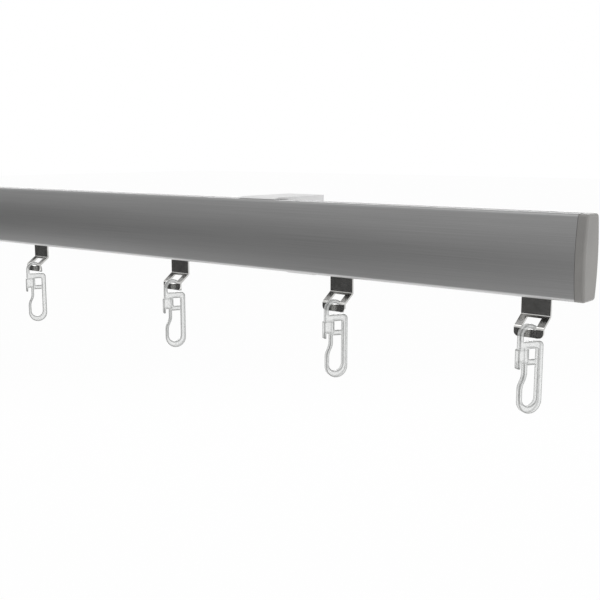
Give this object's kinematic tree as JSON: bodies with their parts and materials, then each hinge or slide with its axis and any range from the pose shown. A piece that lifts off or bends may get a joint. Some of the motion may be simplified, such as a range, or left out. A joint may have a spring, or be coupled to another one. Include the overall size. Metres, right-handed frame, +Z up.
{
  "type": "curtain track",
  "caption": "Short length of aluminium curtain track with end caps and a wall bracket; roller gliders on bent steel straps carry clear plastic hooks.",
  "frame": {"origin": "on the wall plane, midway between the two screw holes of the wall bracket", "axes": "+X along the track to the right as seen from the room, +Y into the wall, +Z up"},
  "size_m": [0.4204, 0.0481, 0.0842],
  "materials": {
    "anodised_aluminium": "fine brushed, matt anodised",
    "grey_plastic": "satin moulded",
    "pale_metal": "satin grey coat",
    "steel": "zinc plated sheet",
    "dark_steel": "plain steel",
    "nylon": "white nylon",
    "clear_plastic": "clear moulded"
  },
  "bodies": {
    "track": {"track_profile": "anodised_aluminium", "end_cap_left": "grey_plastic", "end_cap_right": "grey_plastic", "wall_bracket": "pale_metal", "clamp_screw": "dark_steel"},
    "glider_1": {"hanger_strap_1": "steel"},
    "roller_1a": {"roller_1a": "nylon"},
    "roller_1b": {"roller_1b": "nylon"},
    "hook_1": {"pleat_hook_1": "clear_plastic"},
    "glider_2": {"hanger_strap_2": "steel"},
    "roller_2a": {"roller_2a": "nylon"},
    "roller_2b": {"roller_2b": "nylon"},
    "hook_2": {"pleat_hook_2": "clear_plastic"},
    "glider_3": {"hanger_strap_3": "steel"},
    "roller_3a": {"roller_3a": "nylon"},
    "roller_3b": {"roller_3b": "nylon"},
    "hook_3": {"pleat_hook_3": "clear_plastic"},
    "glider_4": {"hanger_strap_4": "steel"},
    "roller_4a": {"roller_4a": "nylon"},
    "roller_4b": {"roller_4b": "nylon"},
    "hook_4": {"pleat_hook_4": "clear_plastic"}
  },
  "joints": [
    {"name": "glider_1_slide", "type": "slide", "parent": "track", "child": "glider_1", "axis": [1, 0, 0], "range_m": [-0.0455, 0.0505]},
    {"name": "roller_1a_spin", "type": "hinge", "parent": "glider_1", "child": "roller_1a", "pos_m": [-0.1935, -0.0365, -0.00115], "axis": [0, 1, 0], "continuous": true},
    {"name": "roller_1b_spin", "type": "hinge", "parent": "glider_1", "child": "roller_1b", "pos_m": [-0.1765, -0.0365, -0.00115], "axis": [0, 1, 0], "continuous": true},
    {"name": "hook_1_swing", "type": "hinge", "parent": "glider_1", "child": "hook_1", "pos_m": [-0.185, -0.0427, -0.0212], "axis": [0.866, -0.5, 0], "range_deg": [-40, 40]},
    {"name": "glider_2_slide", "type": "slide", "parent": "track", "child": "glider_2", "axis": [1, 0, 0], "range_m": [-0.0505, 0.043]},
    {"name": "roller_2a_spin", "type": "hinge", "parent": "glider_2", "child": "roller_2a", "pos_m": [-0.0677, -0.0365, -0.00115], "axis": [0, 1, 0], "continuous": true},
    {"name": "roller_2b_spin", "type": "hinge", "parent": "glider_2", "child": "roller_2b", "pos_m": [-0.0507, -0.0365, -0.00115], "axis": [0, 1, 0], "continuous": true},
    {"name": "hook_2_swing", "type": "hinge", "parent": "glider_2", "child": "hook_2", "pos_m": [-0.0592, -0.0427, -0.0212], "axis": [0.866, -0.5, 0], "range_deg": [-40, 40]},
    {"name": "glider_3_slide", "type": "slide", "parent": "track", "child": "glider_3", "axis": [1, 0, 0], "range_m": [-0.043, 0.037]},
    {"name": "roller_3a_spin", "type": "hinge", "parent": "glider_3", "child": "roller_3a", "pos_m": [0.0427, -0.0365, -0.00115], "axis": [0, 1, 0], "continuous": true},
    {"name": "roller_3b_spin", "type": "hinge", "parent": "glider_3", "child": "roller_3b", "pos_m": [0.0597, -0.0365, -0.00115], "axis": [0, 1, 0], "continuous": true},
    {"name": "hook_3_swing", "type": "hinge", "parent": "glider_3", "child": "hook_3", "pos_m": [0.0512, -0.0427, -0.0212], "axis": [0.866, -0.5, 0], "range_deg": [-40, 40]},
    {"name": "glider_4_slide", "type": "slide", "parent": "track", "child": "glider_4", "axis": [1, 0, 0], "range_m": [-0.037, 0.006]},
    {"name": "roller_4a_spin", "type": "hinge", "parent": "glider_4", "child": "roller_4a", "pos_m": [0.1422, -0.0365, -0.00115], "axis": [0, 1, 0], "continuous": true},
    {"name": "roller_4b_spin", "type": "hinge", "parent": "glider_4", "child": "roller_4b", "pos_m": [0.1592, -0.0365, -0.00115], "axis": [0, 1, 0], "continuous": true},
    {"name": "hook_4_swing", "type": "hinge", "parent": "glider_4", "child": "hook_4", "pos_m": [0.1507, -0.0427, -0.0212], "axis": [0.866, -0.5, 0], "range_deg": [-40, 40]}
  ]
}
